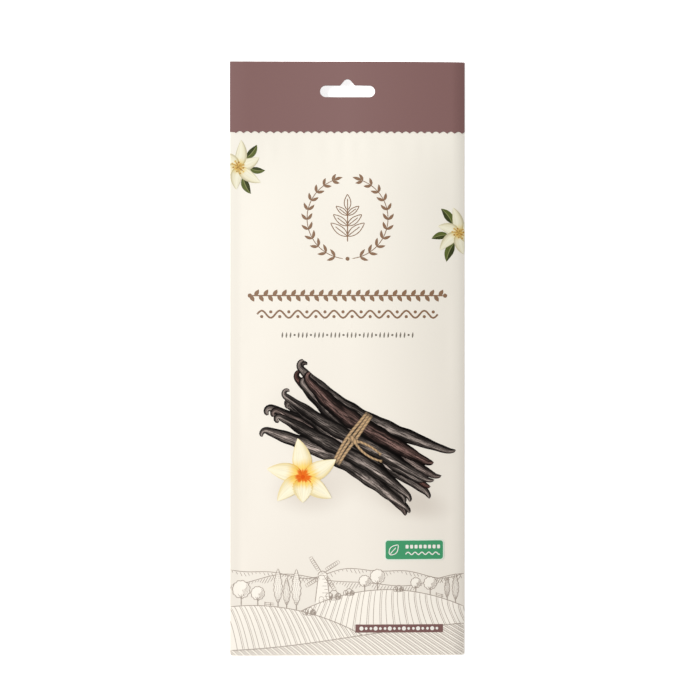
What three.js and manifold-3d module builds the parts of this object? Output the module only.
// A flat hanging pack for dried vanilla pods, lying on its back with the printed side up.
// Two pieces: a sealed film pouch that bulges over its contents, and a folded strip that saddles
// the pouch's sealed top. The strip has a pinked lower edge and a hang hole punched through it.
// +X is across the pack, +Y runs towards the strip, +Z comes out of the front. Millimetres.
// The origin is under the middle of the pack, on the surface that it lies on.
import * as THREE from "three";
import { mergeVertices } from "three/addons/utils/BufferGeometryUtils.js";
import Module from "manifold-3d";

const wasm = await Module();
wasm.setup();

// The whole pack.
const PACK_WIDTH = 89.6;
const PACK_LENGTH = 226.5;
const SEAL_HEIGHT = 6.5; // the sealed film's height over the table, on the centre line half way along
const END_DROOP = 0.4; // how far the two ends droop below that
const END_DROOP_POWER = 3; // higher keeps the droop nearer the ends
const LEFT_LIFT = 2.2; // how far the left side bows up from the centre line
const RIGHT_DROOP = 4.2; // how far the right side bows down
const RIGHT_CURL = 1.1; // how far the right edge curls down further
const RIGHT_CURL_WIDTH = 5;

// The pouch.
const FRONT_RISE = 2.3; // how far the full pocket stands above its seals
const BACK_SAG = 7.2; // how far it would hang below them if nothing carried it
const ACROSS_POWER = 3; // higher makes the pocket's dome flatter across
const ALONG_POWER = 8; // higher makes its two ends shorter
const TAPER_POWER = 1.3; // higher closes it more softly at the seals
const SEALED_THICKNESS = 0.5; // front and back film, welded
const SIDE_SEAL = 3.4;
const BOTTOM_SEAL = 7;
const TOP_SEAL = 1; // as much of it as shows below the strip
const SIDE_INSET = 0.02; // the film is this much narrower than the strip, each side
const WAIST = 0.08; // and this much more where the pocket is full
const CORNER_RADIUS = 1;

// The folded strip.
const STRIP_HEIGHT = 27; // from the fold to the middle of the pinked edge's wave
const STRIP_THICKNESS = 1.2;
const STRIP_CLEARANCE = 0.1; // between a flap and the film inside it
const TAB_LENGTH = 9; // how far the pouch's sealed top reaches up between the flaps
const FOLD_NOSE = 0.12; // half the thickness left at the fold's outermost line
const TOOTH_PITCH = 2.875;
const TOOTH_DEPTH = 0.75;
const FIRST_TOOTH = 2.25; // from the strip's left side to its first point

// The hang hole: a slot with round ends and a notch over its middle, for a display hook.
const SLOT_WIDTH = 20.9;
const SLOT_HEIGHT = 4.4;
const SLOT_BELOW_FOLD = 11.4; // from the fold to the slot's middle line
const NOTCH_RADIUS = 1.7;
const NOTCH_CENTRE = 0.7; // above the slot's upper side
const NOTCH_HALF_ANGLE = THREE.MathUtils.degToRad(50);

// How finely each surface is divided.
const POCKET_COLUMNS = 22;
const SEAL_COLUMNS = 3;
const POCKET_END = 22; // the closely divided stretch at the foot and at the head
const POCKET_END_ROWS = 10;
const POCKET_MIDDLE_ROWS = 16;
const STRIP_COLUMNS = 16;
const STRIP_ROWS = 8;
const STEPS_PER_TOOTH = 6;
const STEPS_PER_ARC = 10;
const ROUNDING_SHARES = [0, 0.1, 0.3, 0.6, 1]; // rows over a rounded corner or fold, from its end
const CUT_MARGIN = 4; // how far a cutter passes what it cuts

// Worked out from those.
const HALF_WIDTH = PACK_WIDTH / 2;
const HALF_LENGTH = PACK_LENGTH / 2;
const FILM_HALF_WIDTH = HALF_WIDTH - SIDE_INSET;
const PINKED_EDGE = HALF_LENGTH - STRIP_HEIGHT;
const TAB_END = PINKED_EDGE + TAB_LENGTH;
const POCKET_HALF_WIDTH = FILM_HALF_WIDTH - SIDE_SEAL;
const POCKET_FOOT = BOTTOM_SEAL - HALF_LENGTH;
const POCKET_HEAD = PINKED_EDGE - TOP_SEAL;
const FOLD_RADIUS = STRIP_THICKNESS / 2;
const FOLD_START = HALF_LENGTH - FOLD_RADIUS;

const clamp01 = (value) => THREE.MathUtils.clamp(value, 0, 1);

// How full the pocket is, from 0 at its seals to 1 in the middle: a low dome across, and
// a long level stretch with short falls at the foot and the head.
function fullness(x, y) {
  const middle = (POCKET_HEAD + POCKET_FOOT) / 2;
  const across = clamp01(Math.abs(x) / POCKET_HALF_WIDTH);
  const along = clamp01(Math.abs(y - middle) / (POCKET_HEAD - middle));
  return ((1 - across ** ACROSS_POWER) * (1 - along ** ALONG_POWER)) ** TAPER_POWER;
}

// Height of the middle of the sealed film: it droops to the two ends, bows up a little to the left
// and down to the right, and curls down at its right edge.
function sealHeight(x, y) {
  const along = clamp01(Math.abs(y) / HALF_LENGTH);
  const aside = clamp01(Math.abs(x) / HALF_WIDTH);
  const curl = clamp01(1 - (HALF_WIDTH - x) / RIGHT_CURL_WIDTH);
  const bow = (x > 0 ? -RIGHT_DROOP : LEFT_LIFT) * aside ** 2;
  return SEAL_HEIGHT + bow - END_DROOP * along ** END_DROOP_POWER - RIGHT_CURL * curl ** 2;
}

const pouchFront = (x, y) => sealHeight(x, y) + SEALED_THICKNESS / 2 + FRONT_RISE * fullness(x, y);

// The back is pressed flat where it would hang below the table.
function pouchBack(x, y) {
  return Math.max(0, sealHeight(x, y) - SEALED_THICKNESS / 2 - BACK_SAG * fullness(x, y));
}

// How much a quarter circle has cut off a corner, at a distance from the corner's end.
function roundedOff(radius, distance) {
  const left = Math.max(0, radius - distance);
  return radius - Math.sqrt(radius ** 2 - left ** 2);
}

// Half the pouch's width at a place along it: drawn in a little by the contents, rounded at the foot.
function pouchHalfWidth(y) {
  return FILM_HALF_WIDTH - WAIST * Math.sqrt(fullness(0, y)) - roundedOff(CORNER_RADIUS, y + HALF_LENGTH);
}

// Evenly spaced values from a to b, both included.
function steps(a, b, count) {
  return Array.from({ length: count + 1 }, (_, i) => a + ((b - a) * i) / count);
}

// Columns across a piece, as shares of its half width, closer together at its seals.
function columnShares(pocketColumns) {
  const pocketShare = POCKET_HALF_WIDTH / FILM_HALF_WIDTH;
  const seal = steps(pocketShare, 1, SEAL_COLUMNS).slice(1);
  const pocket = steps(-pocketShare, pocketShare, pocketColumns);
  return [...seal.map((share) => -share).reverse(), ...pocket, ...seal];
}

// A closed sheet between two height functions, over rows at ys and columns at shares of the width.
function sheet(shares, ys, halfWidth, top, bottom) {
  const columns = shares.length;
  const layer = ys.length * columns;
  const positions = [];
  for (const height of [top, bottom]) {
    for (const y of ys) {
      for (const share of shares) {
        const x = share * halfWidth(y);
        positions.push(x, y, height(x, y));
      }
    }
  }
  const index = [];
  const quad = (a, b, c, d) => index.push(a, b, c, a, c, d);
  for (let row = 0; row + 1 < ys.length; row++) {
    const left = row * columns;
    const right = left + columns - 1;
    for (let corner = left; corner < right; corner++) {
      const above = corner + columns;
      quad(corner, corner + 1, above + 1, above);
      quad(corner + layer, above + layer, above + layer + 1, corner + layer + 1);
    }
    quad(left, left + columns, left + columns + layer, left + layer);
    quad(right, right + layer, right + columns + layer, right + columns);
  }
  const lastRow = layer - columns;
  for (let column = 0; column + 1 < columns; column++) {
    const far = lastRow + column;
    quad(column, column + layer, column + 1 + layer, column + 1);
    quad(far, far + 1, far + 1 + layer, far + layer);
  }
  const geometry = new THREE.BufferGeometry();
  geometry.setAttribute("position", new THREE.Float32BufferAttribute(positions, 3));
  geometry.setIndex(index);
  return geometry;
}

function solidOf(geometry) {
  const bare = geometry.clone();
  bare.deleteAttribute("normal");
  bare.deleteAttribute("uv");
  const merged = mergeVertices(bare, 1e-4);
  return new wasm.Manifold(
    new wasm.Mesh({
      numProp: 3,
      vertProperties: new Float32Array(merged.attributes.position.array),
      triVerts: new Uint32Array(merged.index.array),
    }),
  );
}

function geometryOf(solid) {
  const mesh = solid.getMesh();
  const geometry = new THREE.BufferGeometry();
  geometry.setAttribute("position", new THREE.Float32BufferAttribute(mesh.vertProperties, 3));
  geometry.setIndex(Array.from(mesh.triVerts));
  geometry.computeVertexNormals();
  return geometry;
}

// The outline of the hang hole, round its slot's middle. The notch is an arc on two straight
// flanks that run on from it to the slot's upper side.
function hangHoleShape() {
  const end = SLOT_HEIGHT / 2;
  const straight = SLOT_WIDTH / 2 - end;
  const shoulder = NOTCH_CENTRE + NOTCH_RADIUS * Math.cos(NOTCH_HALF_ANGLE);
  const notchFoot = NOTCH_RADIUS * Math.sin(NOTCH_HALF_ANGLE) + shoulder / Math.tan(NOTCH_HALF_ANGLE);
  const arcStart = Math.PI / 2 - NOTCH_HALF_ANGLE;
  const shape = new THREE.Shape();
  shape.moveTo(-straight, -end);
  shape.lineTo(straight, -end);
  shape.absarc(straight, 0, end, -Math.PI / 2, Math.PI / 2, false);
  shape.lineTo(notchFoot, end);
  shape.absarc(0, end + NOTCH_CENTRE, NOTCH_RADIUS, arcStart, Math.PI - arcStart, false);
  shape.lineTo(-notchFoot, end);
  shape.lineTo(-straight, end);
  shape.absarc(-straight, 0, end, Math.PI / 2, (3 * Math.PI) / 2, false);
  return shape;
}

// Where the pinked edge runs: points that hang down, with round arches between them.
function pinkedEdge(x) {
  const teeth = (x + HALF_WIDTH - FIRST_TOOTH) / TOOTH_PITCH;
  return PINKED_EDGE - TOOTH_DEPTH / 2 + TOOTH_DEPTH * Math.abs(Math.sin(Math.PI * teeth));
}

// Everything below the pinked edge, from one tooth before the strip's left side to past its right.
function belowPinkedEdgeShape() {
  const first = FIRST_TOOTH - HALF_WIDTH - 2 * TOOTH_PITCH;
  const teeth = Math.ceil((HALF_WIDTH + TOOTH_PITCH - first) / TOOTH_PITCH);
  const last = first + teeth * TOOTH_PITCH;
  const foot = PINKED_EDGE - 2 * CUT_MARGIN;
  const shape = new THREE.Shape();
  shape.moveTo(first, foot);
  shape.lineTo(last, foot);
  for (const x of steps(last, first, teeth * STEPS_PER_TOOTH)) shape.lineTo(x, pinkedEdge(x));
  return shape;
}

// A cutter with that outline, which runs right through the strip along Z.
function throughCutter(shape, y = 0) {
  const depth = 2 * (SEAL_HEIGHT + CUT_MARGIN);
  const geometry = new THREE.ExtrudeGeometry(shape, {
    depth,
    bevelEnabled: false,
    curveSegments: STEPS_PER_ARC,
  });
  geometry.translate(0, y, -depth / 2);
  return solidOf(geometry);
}

// The sealed film pouch, with the tab that reaches up between the strip's flaps.
function pouchGeometry() {
  const ys = [
    ...ROUNDING_SHARES.map((share) => share * CORNER_RADIUS - HALF_LENGTH),
    POCKET_FOOT - BOTTOM_SEAL / 2,
    ...steps(POCKET_FOOT, POCKET_FOOT + POCKET_END, POCKET_END_ROWS),
    ...steps(POCKET_FOOT + POCKET_END, POCKET_HEAD - POCKET_END, POCKET_MIDDLE_ROWS).slice(1, -1),
    ...steps(POCKET_HEAD - POCKET_END, POCKET_HEAD, POCKET_END_ROWS),
    PINKED_EDGE + TAB_LENGTH / 2,
    TAB_END,
  ];
  return sheet(columnShares(POCKET_COLUMNS), ys, pouchHalfWidth, pouchFront, pouchBack);
}

// The strip before it is cut: a sheet that is rounded off at its fold.
function foldedSlab(columns) {
  const fold = ROUNDING_SHARES.map((share) => HALF_LENGTH - share * FOLD_RADIUS).reverse();
  const ys = [...steps(PINKED_EDGE - CUT_MARGIN / 2, FOLD_START, STRIP_ROWS), ...fold.slice(1)];
  const halfThickness = (y) => Math.max(FOLD_NOSE, FOLD_RADIUS - roundedOff(FOLD_RADIUS, HALF_LENGTH - y));
  return sheet(
    columns,
    ys,
    () => HALF_WIDTH,
    (x, y) => sealHeight(x, y) + halfThickness(y),
    (x, y) => sealHeight(x, y) - halfThickness(y),
  );
}

// The room between the flaps, which the pouch's sealed top fills. It is open at the sides.
function betweenFlaps(columns) {
  const past = 1 + CUT_MARGIN / HALF_WIDTH;
  const halfGap = SEALED_THICKNESS / 2 + STRIP_CLEARANCE;
  return sheet(
    [-past, ...columns, past],
    steps(PINKED_EDGE - CUT_MARGIN, TAB_END + STRIP_CLEARANCE, STRIP_ROWS),
    () => HALF_WIDTH,
    (x, y) => sealHeight(x, y) + halfGap,
    (x, y) => sealHeight(x, y) - halfGap,
  );
}

function stripGeometry() {
  const columns = columnShares(STRIP_COLUMNS);
  const cut = solidOf(foldedSlab(columns))
    .subtract(solidOf(betweenFlaps(columns)))
    .subtract(throughCutter(belowPinkedEdgeShape()))
    .subtract(throughCutter(hangHoleShape(), HALF_LENGTH - SLOT_BELOW_FOLD));
  return geometryOf(cut);
}

function namedMesh(name, geometry, material) {
  const mesh = new THREE.Mesh(geometry, material);
  mesh.name = name;
  return mesh;
}

const creamFilm = new THREE.MeshStandardMaterial({ color: 0xf9f1e6, roughness: 0.5, metalness: 0 });
const brownStrip = new THREE.MeshStandardMaterial({ color: 0x8b6966, roughness: 0.6, metalness: 0 });

const pack = new THREE.Group();
pack.add(namedMesh("pouch", pouchGeometry(), creamFilm));
pack.add(namedMesh("header_strip", stripGeometry(), brownStrip));

export default pack;
